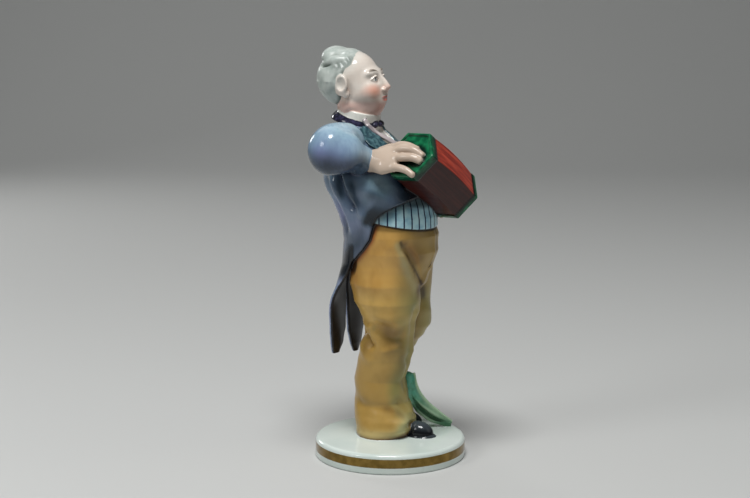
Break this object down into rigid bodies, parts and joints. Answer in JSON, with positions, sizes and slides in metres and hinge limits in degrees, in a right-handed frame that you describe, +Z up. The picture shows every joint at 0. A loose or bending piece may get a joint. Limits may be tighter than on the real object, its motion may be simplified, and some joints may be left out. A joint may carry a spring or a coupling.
{
  "type": "porcelain figurine",
  "caption": "Glazed porcelain figurine of a stout man in a tail coat playing a concertina, on a round base.",
  "frame": {"origin": "middle of the flat underside of the round base", "axes": "+Z up along the figure; the man faces -Y and his right side is at -X"},
  "size_m": [0.0852, 0.0805, 0.2033],
  "materials": {
    "glazed porcelain": "glossy"
  },
  "bodies": {
    "root": {"figurine": "glazed porcelain"}
  },
  "joints": []
}
